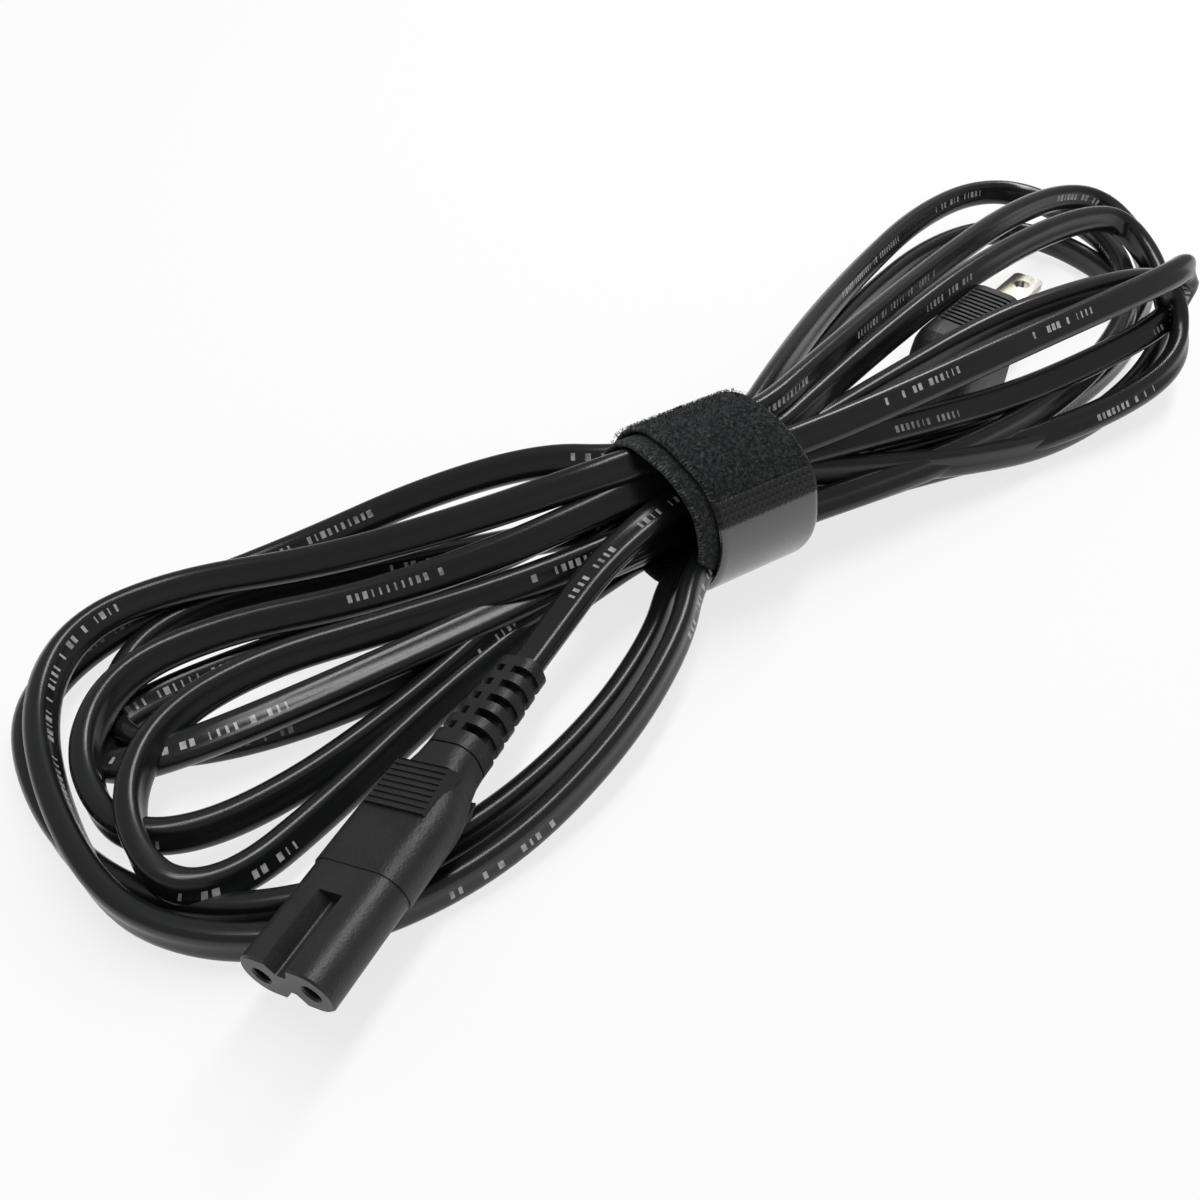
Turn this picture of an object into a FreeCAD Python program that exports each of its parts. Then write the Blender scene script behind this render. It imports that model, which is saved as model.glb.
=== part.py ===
import FreeCAD, Part
import math
import os

# Mains cord set with a figure eight power connector, its flat twin cord tied in a hank, and a two-blade plug.
# Millimetres. The origin is the centre of the connector's mating face, +X runs along the connector
# towards its cord and +Z is up. The set lies on a floor below the origin.

# Lie of the set
FLOOR = -11.4
CONNECTOR_ROLL = -17.5
HANK_X = 106.6
HANK_Y = -11.0
HANK_TURN = -31.0

# Connector nose, the standard two-lobed interface
PIN_PITCH = 8.6
NOSE_PIN_MARGIN = 3.45
NOSE_HEIGHT = 7.6
NOSE_LENGTH = 16.0
NOSE_EDGE = 0.3
NOTCH_WIDTH = 4.1
NOTCH_ROOT_WIDTH = 1.7
NOTCH_DEPTH = 2.2
NOTCH_ROOT_RADIUS = 0.5
GROOVE_LENGTH = 11.6
ENTRY_DIAMETER = 2.8
ENTRY_DEPTH = 2.4
LEAD_IN_DIAMETER = 3.2
LEAD_IN_DEPTH = 0.3
TANG_WIDTH = 13.0
TANG_HEIGHT = 5.0
TANG_LENGTH = 7.0

# Tubular contacts
CONTACT_DIAMETER = 3.4
CONTACT_CLEARANCE = 0.05
CONTACT_TUBE_LENGTH = 10.0
CONTACT_WEB = 1.2
CONTACT_SLIT_WIDTH = 0.5
CONTACT_SLIT_LENGTH = 7.0
CRIMP_DIAMETER = 2.6
CRIMP_LENGTH = 6.0
CRIMP_CLEARANCE = 0.05

# Flat twin cord and its cores
CORD_WIDTH = 5.6
CORD_THICKNESS = 3.6
CORD_EDGE_RADIUS = 1.5
CORE_PITCH = 2.7
CORE_DIAMETER = 2.5
CONDUCTOR_DIAMETER = 1.2
CORE_STRIP = 1.0
CORE_STRAIGHT = 4.0
CORE_BEND = 22.5
JACKET_START = 35.0

# Connector grip
GRIP_STEP = 0.15
GRIP_PRISM_END = 26.5
GRIP_END = 38.5
GRIP_CORNER = 3.7
NECK_STATIONS = 6
NECK_END_WIDTH = 9.4
NECK_END_HEIGHT = 8.0
NECK_CORNER = 3.3
PAD_START = 25.8
PAD_LENGTH = 7.8
PAD_FRONT_WIDTH = 9.6
PAD_BACK_WIDTH = 8.8
PAD_FRONT_RISE = 0.5
PAD_BACK_RISE = 1.1
PAD_SIDE_SLOPE = 0.5
PAD_TAIL = 0.9
PAD_RIBS = 8
PAD_RIB_HEIGHT = 0.22

# Strain reliefs, ladders of rings round the cord
RELIEF_COLLAR = 1.2
RELIEF_COLLAR_GROOVE = 0.3
RELIEF_ROWS = 5
RELIEF_PITCH = 3.3
RELIEF_WINDOW = 1.6
RELIEF_RIB_WIDTH = 1.5
RELIEF_RAIL_HEIGHT = 2.4
RELIEF_RAIL_INSET = 0.5
RELIEF_END_RING = 2.1
RELIEF_END_WIDTH = 7.8
RELIEF_END_HEIGHT = 6.0
RELIEF_CORNER = 2.4

# Hank of cord, measured from the middle of its waist along (u), across (v) and up from the floor (w)
WAIST_RADIUS = 12.4
WAIST_LENGTH = 32.0
LEFT_CENTRE_U = -79.0
LEFT_CENTRE_V = 4.0
LEFT_RADIUS = 41.0
LEFT_HOLE_START_U = -50.0
LEFT_HOLE_START_RADIUS = 6.0
LEFT_HOLE_RADIUS = 17.0
LEFT_WAIST_HEIGHT = 15.0
LEFT_HEIGHT = 4.8
LEFT_SLOPE_END_U = -45.0
RIGHT_CENTRE_U = 100.0
RIGHT_CENTRE_V = 25.0
RIGHT_RADIUS = 44.0
RIGHT_HOLE_START_U = 38.0
RIGHT_HOLE_START_V = 1.0
RIGHT_HOLE_START_RADIUS = 10.0
RIGHT_HOLE_U = 92.0
RIGHT_HOLE_V = 22.0
RIGHT_HOLE_RADIUS = 25.0
RIGHT_WAIST_HEIGHT = 8.0
RIGHT_HEIGHT = 7.5

# Hook-and-loop tie, wound about two turns
TIE_WIDTH = 20.0
TIE_THICKNESS = 1.4
TIE_LAYER_GAP = 0.05
TIE_INNER_U = -5.5
TIE_OUTER_U = 1.0

# Two-blade plug, lying on its narrow side
PLUG_U = 80.0
PLUG_V = 15.0
PLUG_TURN = 18.0
PLUG_WIDTH = 22.8
PLUG_THICKNESS = 13.0
PLUG_CORNER = 4.0
PLUG_FACE_EDGE = 0.8
PLUG_SHOULDER = 20.0
PLUG_BODY_LENGTH = 30.0
PLUG_NECK_WIDTH = 9.4
PLUG_NECK_THICKNESS = 8.0
PLUG_RIBS = 11
PLUG_RIB_PITCH = 1.4
PLUG_RIB_START = 2.6
PLUG_RIB_DEPTH = 0.45
PLUG_RIB_WIDTH = 9.0
BLADE_PITCH = 12.7
BLADE_WIDTH = 6.35
BLADE_THICKNESS = 1.5
BLADE_LENGTH = 16.0
BLADE_ROOT = 13.0
BLADE_TIP = 1.2
BLADE_HOLE_DIAMETER = 3.2
BLADE_HOLE_FROM_FACE = 11.9
BRIDGE_LENGTH = 6.0
BRIDGE_FROM_FACE = 3.0
BRIDGE_MARGIN = 1.5
PLUG_CONDUCTOR_LAP = 4.0
WELD_SINK = 0.2

# Free stretches of the cord, chosen along the route, from the connector and to the plug
LEAD_ROUTE = [(JACKET_START, 0.0, 0.0), (67.2, 0.0, 0.0), (82.0, -2.2, 5.2), (98.0, -8.2, 8.6),
              (111.0, -15.6, 9.0)]
PLUG_LEAD_START = (4.0, -1.0)
PLUG_LEAD_TAIL = 12.0

UP = FreeCAD.Vector(0, 0, 1)
ALONG = FreeCAD.Vector(1, 0, 0)


def vec(x, y, z):
    return FreeCAD.Vector(x, y, z)


def arc_through(centre, radius, start_deg, end_deg, place):
    """Arc of a circle, its three points set in space by place(a, b)."""
    angles = [start_deg, (start_deg + end_deg) / 2, end_deg]
    spots = []
    for angle in angles:
        a = centre[0] + radius * math.cos(math.radians(angle))
        b = centre[1] + radius * math.sin(math.radians(angle))
        spots.append(place(a, b))
    return Part.Arc(*spots).toShape()


def line(start, end):
    return Part.LineSegment(start, end).toShape()


def rounded_section(x, width, height, corner):
    """Rounded rectangle across the X axis: width along Y, height along Z."""
    place = lambda y, z: vec(x, y, z)
    half_y = width / 2 - corner
    half_z = height / 2 - corner
    edges = []
    corners = [(half_y, half_z, 0), (-half_y, half_z, 90), (-half_y, -half_z, 180), (half_y, -half_z, 270)]
    for index, (y, z, start) in enumerate(corners):
        edges.append(arc_through((y, z), corner, start, start + 90, place))
        next_y, next_z, next_start = corners[(index + 1) % 4]
        turn = math.radians(start + 90)
        out_y = corner * math.cos(turn)
        out_z = corner * math.sin(turn)
        edges.append(line(place(y + out_y, z + out_z), place(next_y + out_y, next_z + out_z)))
    return Part.Wire(edges)


def stadium_section(x, width, height):
    """Flat oval with full round ends across the X axis."""
    place = lambda y, z: vec(x, y, z)
    radius = height / 2
    half = width / 2 - radius
    return Part.Wire([
        arc_through((half, 0), radius, -90, 90, place),
        line(place(half, radius), place(-half, radius)),
        arc_through((-half, 0), radius, 90, 270, place),
        line(place(-half, -radius), place(half, -radius)),
    ])


def prism(wire, direction):
    return Part.Face(wire).extrude(direction)


def box(x0, x1, y0, y1, z0, z1):
    return Part.makeBox(x1 - x0, y1 - y0, z1 - z0, vec(x0, y0, z0))


def rod(radius, x0, x1, y=0.0, z=0.0):
    return Part.makeCylinder(radius, x1 - x0, vec(x0, y, z), ALONG)


def mirrored_down(shape):
    return shape.mirror(vec(0, 0, 0), UP)


def route_wire(points):
    """Wire of straight runs joined by tangent arcs as large as the runs allow, and the arcs' radii."""
    spots = [vec(*point) for point in points]
    edges = []
    radii = []
    start = spots[0]
    for before, corner, after in zip(spots, spots[1:], spots[2:]):
        back = (before - corner).normalize()
        ahead = (after - corner).normalize()
        shorter = min((before - corner).Length, (after - corner).Length)
        reach = 0.45 * shorter
        half_turn = (math.pi - back.getAngle(ahead)) / 2
        radius = reach / math.tan(half_turn)
        radii.append(radius)
        arc_in = corner + back * reach
        arc_out = corner + ahead * reach
        inward = (back + ahead).normalize()
        middle = corner + inward * (radius / math.cos(half_turn) - radius)
        edges.append(line(start, arc_in))
        edges.append(Part.Arc(arc_in, middle, arc_out).toShape())
        start = arc_out
    edges.append(line(start, spots[-1]))
    return Part.Wire(edges), radii


def swept(profile, points, name):
    """Solid of a closed profile carried along a route."""
    wire, radii = route_wire(points)
    solid = wire.makePipeShell([profile], True, False)
    expected = Part.Face(profile).Area * wire.Length
    print(name, "radii", [round(radius, 1) for radius in radii], "length", round(wire.Length, 1),
          "volume ratio", round(solid.Volume / expected, 4))
    return solid


def mitred_rod(radius, points):
    """Round rod along straight runs, with mitred bends."""
    spots = [vec(*point) for point in points]
    profile = Part.Wire([Part.Circle(spots[0], spots[1] - spots[0], radius).toShape()])
    return Part.makePolygon(spots).makePipeShell([profile], True, False, 1)


# Contact carrier: the hard two-lobed nose with its tang
NOSE_WIDTH = PIN_PITCH + 2 * NOSE_PIN_MARGIN
ENTRY_RADIUS = ENTRY_DIAMETER / 2
CHAMBER_RADIUS = CONTACT_DIAMETER / 2 + CONTACT_CLEARANCE
TANG_END = NOSE_LENGTH + TANG_LENGTH


def notch():
    """One V-shaped groove of the nose, at the top, with a rounded root."""
    top = NOSE_HEIGHT / 2
    rise = NOTCH_DEPTH
    slope = (NOTCH_WIDTH - NOTCH_ROOT_WIDTH) / 2 / NOTCH_DEPTH
    half_top = NOTCH_WIDTH / 2 + slope * rise
    half_root = NOTCH_ROOT_WIDTH / 2
    corners = [(-half_top, top + rise), (-half_root, top - NOTCH_DEPTH), (half_root, top - NOTCH_DEPTH),
               (half_top, top + rise)]
    outline = [vec(0, y, z) for y, z in corners]
    groove = prism(Part.makePolygon(outline + outline[:1]), ALONG * GROOVE_LENGTH)
    root_z = top - NOTCH_DEPTH
    root_edges = []
    for edge in groove.Edges:
        ends = [vertex.Point for vertex in edge.Vertexes]
        if all(abs(end.z - root_z) < 1e-6 for end in ends) and abs(ends[0].x - ends[1].x) > GROOVE_LENGTH / 2:
            root_edges.append(edge)
    return groove.makeFillet(NOTCH_ROOT_RADIUS, root_edges)


def tang():
    return prism(stadium_section(NOSE_LENGTH, TANG_WIDTH, TANG_HEIGHT), ALONG * TANG_LENGTH)


def contact_carrier():
    nose = prism(stadium_section(0, NOSE_WIDTH, NOSE_HEIGHT), ALONG * NOSE_LENGTH)
    front = [edge for edge in nose.Edges if edge.BoundBox.XMax < 1e-6]
    nose = nose.makeChamfer(NOSE_EDGE, front)
    carrier = nose.cut([notch(), mirrored_down(notch())]).fuse(tang())
    cuts = []
    for side in (1, -1):
        y = side * PIN_PITCH / 2
        cuts.append(rod(ENTRY_RADIUS, 0, ENTRY_DEPTH, y))
        cuts.append(rod(CHAMBER_RADIUS, ENTRY_DEPTH, TANG_END, y))
        cuts.append(Part.makeCone(LEAD_IN_DIAMETER / 2, ENTRY_RADIUS, LEAD_IN_DEPTH, vec(0, y, 0), ALONG))
    return carrier.cut(cuts).removeSplitter()


# Contacts, conductors and core insulation of the connector
CONTACT_WEB_START = ENTRY_DEPTH + CONTACT_TUBE_LENGTH
CRIMP_START = CONTACT_WEB_START + CONTACT_WEB
CRIMP_END = CRIMP_START + CRIMP_LENGTH
CORE_START = CRIMP_END + CORE_STRIP


def contact(y):
    """Slit tubular socket with a crimp barrel behind it."""
    radius = CONTACT_DIAMETER / 2
    crimp_bore = CONDUCTOR_DIAMETER / 2 + CRIMP_CLEARANCE
    solid = rod(radius, ENTRY_DEPTH, CONTACT_WEB_START, y)
    web = Part.makeCone(radius, CRIMP_DIAMETER / 2, CONTACT_WEB, vec(CONTACT_WEB_START, y, 0), ALONG)
    solid = solid.fuse([web, rod(CRIMP_DIAMETER / 2, CRIMP_START, CRIMP_END, y)])
    slit_end = ENTRY_DEPTH + CONTACT_SLIT_LENGTH
    half_slit = CONTACT_SLIT_WIDTH / 2
    slit = box(ENTRY_DEPTH, slit_end, y - half_slit, y + half_slit, -radius, radius)
    socket = rod(ENTRY_RADIUS, ENTRY_DEPTH, CONTACT_WEB_START, y)
    return solid.cut([socket, rod(crimp_bore, CRIMP_START, CRIMP_END, y), slit]).removeSplitter()


def core_route(start_x, y, end_y, end_x):
    """Route of one core, from its terminal to its place inside the flat jacket."""
    side = math.copysign(1, y)
    return [(start_x, y, 0), (CORE_BEND, y, 0), (end_x - CORE_STRAIGHT, side * end_y, 0),
            (end_x, side * end_y, 0)]


def core_pair(y):
    """Copper conductor and the insulation round it."""
    conductor = mitred_rod(CONDUCTOR_DIAMETER / 2, core_route(CRIMP_START, y, CORE_PITCH / 2, JACKET_START))
    jacket = mitred_rod(CORE_DIAMETER / 2, core_route(CORE_START, y, CORE_PITCH / 2, JACKET_START))
    return conductor, jacket


# Strain relief and grip of the connector
RELIEF_LENGTH = RELIEF_COLLAR + RELIEF_ROWS * RELIEF_PITCH + RELIEF_END_RING
RELIEF_END = GRIP_END + RELIEF_LENGTH


def relief(start_width, start_height):
    """Ladder of rings from x = 0, ever smaller, joined by a rib above and below and a rail at each side."""
    pieces = []
    ring_length = RELIEF_PITCH - RELIEF_WINDOW
    half_rib = RELIEF_RIB_WIDTH / 2
    half_rail = RELIEF_RAIL_HEIGHT / 2
    for ring in range(RELIEF_ROWS + 1):
        x0 = RELIEF_COLLAR + ring * RELIEF_PITCH
        x1 = RELIEF_LENGTH if ring == RELIEF_ROWS else x0 + ring_length
        share = ring / RELIEF_ROWS
        width = start_width + (RELIEF_END_WIDTH - start_width) * share
        height = start_height + (RELIEF_END_HEIGHT - start_height) * share
        corner = NECK_CORNER + (RELIEF_CORNER - NECK_CORNER) * share
        if ring > 0:
            gap = x0 - RELIEF_WINDOW
            pieces.append(box(gap, x0, -half_rib, half_rib, -height / 2, height / 2))
            half_width = width / 2 - RELIEF_RAIL_INSET
            pieces.append(box(gap, x0, -half_width, half_width, -half_rail, half_rail))
        else:
            x0 = 0
        pieces.append(prism(rounded_section(x0, width, height, corner), ALONG * (x1 - x0)))
    return pieces[0].fuse(pieces[1:])


def collar_groove(width, height):
    """Fine line round the start of a strain relief, from x = 0."""
    outside = prism(rounded_section(0, width + 2, height + 2, NECK_CORNER), ALONG * RELIEF_COLLAR_GROOVE)
    core = prism(rounded_section(0, width - 2 * RELIEF_COLLAR_GROOVE, height - 2 * RELIEF_COLLAR_GROOVE,
                                 NECK_CORNER - RELIEF_COLLAR_GROOVE), ALONG * RELIEF_COLLAR_GROOVE)
    return outside.cut(core)


def eased(start, end, share):
    """Value between two sizes, level at both ends."""
    return start + (end - start) * (1 - math.cos(math.pi * share)) / 2


GRIP_WIDTH = NOSE_WIDTH + 2 * GRIP_STEP
GRIP_HEIGHT = NOSE_HEIGHT + 2 * GRIP_STEP


def grip_pad():
    """Ribbed thumb pad on the top of the grip, a wedge that rises to the cord's end."""
    surface = GRIP_HEIGHT / 2
    root = surface - PAD_BACK_RISE
    pitch = PAD_LENGTH / PAD_RIBS
    outline = [vec(PAD_START, 0, root)]
    for rib in range(PAD_RIBS):
        x0 = PAD_START + rib * pitch
        rise0 = PAD_FRONT_RISE + (PAD_BACK_RISE - PAD_FRONT_RISE) * rib / PAD_RIBS
        rise1 = PAD_FRONT_RISE + (PAD_BACK_RISE - PAD_FRONT_RISE) * (rib + 1) / PAD_RIBS
        outline.append(vec(x0, 0, surface + rise0))
        outline.append(vec(x0 + pitch, 0, surface + rise1 - PAD_RIB_HEIGHT))
    pad_end = PAD_START + PAD_LENGTH
    outline.append(vec(pad_end, 0, surface + PAD_BACK_RISE))
    outline.append(vec(pad_end + PAD_TAIL, 0, root))
    wedge = prism(Part.makePolygon(outline + outline[:1]), vec(0, PAD_FRONT_WIDTH * 2, 0))
    wedge.translate(vec(0, -PAD_FRONT_WIDTH, 0))
    top = surface + PAD_BACK_RISE
    spread = (top - root) * PAD_SIDE_SLOPE
    ends = []
    for x, width in ((PAD_START, PAD_FRONT_WIDTH), (pad_end + PAD_TAIL, PAD_BACK_WIDTH)):
        half = width / 2
        corners = [vec(x, -half - spread, root), vec(x, half + spread, root)]
        corners += [vec(x, half, top), vec(x, -half, top)]
        ends.append(Part.makePolygon(corners + corners[:1]))
    return wedge.common(Part.makeLoft(ends, True, True))


def connector_overmould(cores):
    cord = prism(rounded_section(JACKET_START, CORD_WIDTH, CORD_THICKNESS, CORD_EDGE_RADIUS),
                 ALONG * (RELIEF_END - JACKET_START))
    straight = prism(rounded_section(NOSE_LENGTH, GRIP_WIDTH, GRIP_HEIGHT, GRIP_CORNER),
                     ALONG * (GRIP_PRISM_END - NOSE_LENGTH))
    sections = []
    for station in range(NECK_STATIONS + 1):
        share = station / NECK_STATIONS
        x = GRIP_PRISM_END + (GRIP_END - GRIP_PRISM_END) * share
        sections.append(rounded_section(x, eased(GRIP_WIDTH, NECK_END_WIDTH, share),
                                        eased(GRIP_HEIGHT, NECK_END_HEIGHT, share),
                                        eased(GRIP_CORNER, NECK_CORNER, share)))
    neck = Part.makeLoft(sections, True, True)
    ladder = relief(NECK_END_WIDTH, NECK_END_HEIGHT)
    ladder.translate(vec(GRIP_END, 0, 0))
    groove = collar_groove(NECK_END_WIDTH, NECK_END_HEIGHT)
    groove.translate(vec(GRIP_END, 0, 0))
    body = straight.fuse([neck, ladder, grip_pad(), mirrored_down(grip_pad())])
    return body.cut([groove, tang(), cord] + cores).removeSplitter()


# Hank and its tie
TIE_PITCH = TIE_THICKNESS + TIE_LAYER_GAP
TIE_INNER_RADIUS = WAIST_RADIUS + TIE_LAYER_GAP
WAIST_HEIGHT = TIE_INNER_RADIUS + 1.5 * TIE_PITCH + TIE_THICKNESS
HANK_PLACE = FreeCAD.Placement(vec(HANK_X, HANK_Y, FLOOR), FreeCAD.Rotation(UP, HANK_TURN))


def belt(start, start_radius, end, end_radius, height):
    """Plate with the outline of a belt round two wheels of different size."""
    start = vec(start[0], start[1], 0)
    end = vec(end[0], end[1], 0)
    heading = math.degrees(math.atan2(end.y - start.y, end.x - start.x))
    lean = math.degrees(math.acos((start_radius - end_radius) / (end - start).Length))
    place = lambda u, v: vec(u, v, 0)
    near = arc_through(start, start_radius, heading + lean, heading + 360 - lean, place)
    far = arc_through(end, end_radius, heading - lean, heading + lean, place)
    near_ends = [near.valueAt(near.FirstParameter), near.valueAt(near.LastParameter)]
    far_ends = [far.valueAt(far.FirstParameter), far.valueAt(far.LastParameter)]
    edges = [near, line(near_ends[1], far_ends[0]), far, line(far_ends[1], near_ends[0])]
    return prism(Part.Wire(edges), UP * height)


def side_profile(points):
    """Prism across the hank with the given side outline (u, w)."""
    depth = 2 * (LEFT_RADIUS + RIGHT_RADIUS + RIGHT_CENTRE_V)
    outline = [vec(u, -depth / 2, w) for u, w in points]
    return prism(Part.makePolygon(outline + outline[:1]), vec(0, depth, 0))


def waist_rod():
    return rod(WAIST_RADIUS, -WAIST_LENGTH / 2, WAIST_LENGTH / 2, 0, WAIST_HEIGHT)


def cord_hank():
    """Outer shape of the tied hank: a round waist and a loose, open lobe at each end."""
    tall = 2 * WAIST_HEIGHT
    left_end = LEFT_CENTRE_U - LEFT_RADIUS - 1
    right_end = RIGHT_CENTRE_U + RIGHT_RADIUS + 1
    waist_end = WAIST_LENGTH / 2
    left = belt((0, 0), WAIST_RADIUS, (LEFT_CENTRE_U, LEFT_CENTRE_V), LEFT_RADIUS, tall)
    left = left.cut(belt((LEFT_HOLE_START_U, 0), LEFT_HOLE_START_RADIUS, (LEFT_CENTRE_U, LEFT_CENTRE_V),
                         LEFT_HOLE_RADIUS, tall))
    left_side = [(-waist_end, 0), (-waist_end, LEFT_WAIST_HEIGHT), (LEFT_SLOPE_END_U, LEFT_HEIGHT),
                 (left_end, LEFT_HEIGHT), (left_end, 0)]
    left = left.common(side_profile(left_side))
    right = belt((0, 0), WAIST_RADIUS, (RIGHT_CENTRE_U, RIGHT_CENTRE_V), RIGHT_RADIUS, tall)
    right = right.cut(belt((RIGHT_HOLE_START_U, RIGHT_HOLE_START_V), RIGHT_HOLE_START_RADIUS,
                           (RIGHT_HOLE_U, RIGHT_HOLE_V), RIGHT_HOLE_RADIUS, tall))
    right_side = [(waist_end, 0), (waist_end, RIGHT_WAIST_HEIGHT), (RIGHT_CENTRE_U, RIGHT_HEIGHT),
                  (right_end, RIGHT_HEIGHT), (right_end, 0)]
    right = right.common(side_profile(right_side))
    hank = waist_rod().fuse([left, right]).removeSplitter()
    hank.Placement = HANK_PLACE
    return hank


def tie_layer(index, offset):
    """Half a turn of tape: even layers pass over the waist, odd ones under it."""
    over = index % 2 == 0
    inner = TIE_INNER_RADIUS + index * TIE_PITCH / 2
    outer = inner + TIE_THICKNESS
    centre = (0 if over else TIE_PITCH / 2, WAIST_HEIGHT)
    start = offset - TIE_WIDTH / 2
    place = lambda v, w: vec(start, v, w)
    turn = 0 if over else 180
    outside = arc_through(centre, outer, turn, turn + 180, place)
    inside = arc_through(centre, inner, turn, turn + 180, place)
    joins = []
    for angle in (turn, turn + 180):
        cosine = math.cos(math.radians(angle))
        inner_v = centre[0] + inner * cosine
        outer_v = centre[0] + outer * cosine
        joins.append(line(place(inner_v, centre[1]), place(outer_v, centre[1])))
    return prism(Part.Wire(Part.__sortEdges__([outside, inside] + joins)), ALONG * TIE_WIDTH)


def tie_tape(layers):
    """Tape of one or more half turns; the outer turn lies a little further along than the inner."""
    pieces = [tie_layer(index, TIE_INNER_U if index < 2 else TIE_OUTER_U) for index in layers]
    tape = pieces[0].fuse(pieces[1:]).removeSplitter() if len(pieces) > 1 else pieces[0]
    tape.Placement = HANK_PLACE
    return tape


# Plug, in its own frame: the face at x = 0, blades along +X, one blade above the other
PLUG_PLACE = HANK_PLACE.multiply(FreeCAD.Placement(vec(PLUG_U, PLUG_V, PLUG_WIDTH / 2),
                                                   FreeCAD.Rotation(UP, PLUG_TURN)))
PLUG_END = -(PLUG_BODY_LENGTH + RELIEF_LENGTH)
PLUG_JACKET_START = -(PLUG_BODY_LENGTH - CORE_STRAIGHT)
BRIDGE_BACK = -(BRIDGE_FROM_FACE + BRIDGE_LENGTH)


def blade(z):
    half = BLADE_WIDTH / 2
    shape = box(-BLADE_ROOT, BLADE_LENGTH, -half, half, z - BLADE_THICKNESS / 2, z + BLADE_THICKNESS / 2)
    end_edges = [edge for edge in shape.Edges if edge.BoundBox.XMin > BLADE_LENGTH - 1e-6]
    tip = [edge for edge in end_edges if edge.BoundBox.YLength < 1e-6]
    shape = shape.makeFillet(BLADE_TIP, tip)
    hole = Part.makeCylinder(BLADE_HOLE_DIAMETER / 2, BLADE_THICKNESS,
                             vec(BLADE_HOLE_FROM_FACE, 0, z - BLADE_THICKNESS / 2), UP)
    return shape.cut(hole)


def plug_bridge_block():
    """Moulded block that spaces the blades, before their slots are cut."""
    half_y = BLADE_WIDTH / 2 + BRIDGE_MARGIN
    half_z = (BLADE_PITCH + BLADE_THICKNESS) / 2 + BRIDGE_MARGIN
    return box(BRIDGE_BACK, -BRIDGE_FROM_FACE, -half_y, half_y, -half_z, half_z)


def plug_core_route(start_x, z):
    end_z = math.copysign(CORE_PITCH / 2, z)
    return [(start_x, 0, z), (-BLADE_ROOT - CORE_STRAIGHT, 0, z),
            (PLUG_JACKET_START + CORE_STRAIGHT / 2, 0, end_z), (PLUG_JACKET_START, 0, end_z)]


def plug_core_pair(z):
    """Conductor welded into the inner side of a blade's root, and its insulation."""
    side = math.copysign(1, z)
    seat = z - side * ((BLADE_THICKNESS + CONDUCTOR_DIAMETER) / 2 - WELD_SINK)
    lap = -BLADE_ROOT + PLUG_CONDUCTOR_LAP
    conductor = mitred_rod(CONDUCTOR_DIAMETER / 2, plug_core_route(lap, seat))
    jacket = mitred_rod(CORE_DIAMETER / 2, plug_core_route(-BLADE_ROOT - CORE_STRIP, seat))
    return conductor, jacket


def plug_cord_section():
    """Section of the cord where its jacket starts inside the plug, on edge."""
    return rounded_section(PLUG_JACKET_START, CORD_THICKNESS, CORD_WIDTH, CORD_EDGE_RADIUS)


def plug_overmould(cavities):
    """Moulded plug with ribbed narrow sides and a strain relief like the connector's, turned on its side."""
    body = prism(rounded_section(0, PLUG_THICKNESS, PLUG_WIDTH, PLUG_CORNER), ALONG * -PLUG_SHOULDER)
    front = [edge for edge in body.Edges if edge.BoundBox.XMin > -1e-6]
    body = body.makeChamfer(PLUG_FACE_EDGE, front)
    sections = []
    for station in range(NECK_STATIONS + 1):
        share = station / NECK_STATIONS
        x = -PLUG_SHOULDER - (PLUG_BODY_LENGTH - PLUG_SHOULDER) * share
        sections.append(rounded_section(x, eased(PLUG_THICKNESS, PLUG_NECK_THICKNESS, share),
                                        eased(PLUG_WIDTH, PLUG_NECK_WIDTH, share),
                                        eased(PLUG_CORNER, NECK_CORNER, share)))
    neck = Part.makeLoft(sections, True, True)
    ladder = relief(PLUG_NECK_WIDTH, PLUG_NECK_THICKNESS)
    ladder.rotate(vec(0, 0, 0), ALONG, 90)
    ladder.rotate(vec(0, 0, 0), UP, 180)
    ladder.translate(vec(-PLUG_BODY_LENGTH, 0, 0))
    grooves = []
    for rib in range(PLUG_RIBS):
        x1 = -(PLUG_RIB_START + rib * PLUG_RIB_PITCH)
        x0 = x1 - PLUG_RIB_PITCH / 2
        for z0 in (PLUG_WIDTH / 2 - PLUG_RIB_DEPTH, -PLUG_WIDTH / 2 - PLUG_RIB_DEPTH):
            grooves.append(box(x0, x1, -PLUG_RIB_WIDTH / 2, PLUG_RIB_WIDTH / 2, z0, z0 + 2 * PLUG_RIB_DEPTH))
    cord = prism(plug_cord_section(), ALONG * (PLUG_END - PLUG_JACKET_START))
    return body.fuse([neck, ladder]).cut(grooves + [cord] + cavities).removeSplitter()


def plug_lead_route():
    """Route from the start of the jacket in the plug to the inside of the waist, in the plug's frame."""
    start = vec(PLUG_LEAD_START[0], PLUG_LEAD_START[1], PLUG_WIDTH / 2)
    waist = PLUG_PLACE.inverse().multVec(HANK_PLACE.multVec(start))
    return [(PLUG_JACKET_START, 0, 0), (PLUG_END - PLUG_LEAD_TAIL, 0, 0), (waist.x, waist.y, waist.z)]


def placed(shape, placement):
    shape.Placement = placement.multiply(shape.Placement)
    return shape


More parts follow.
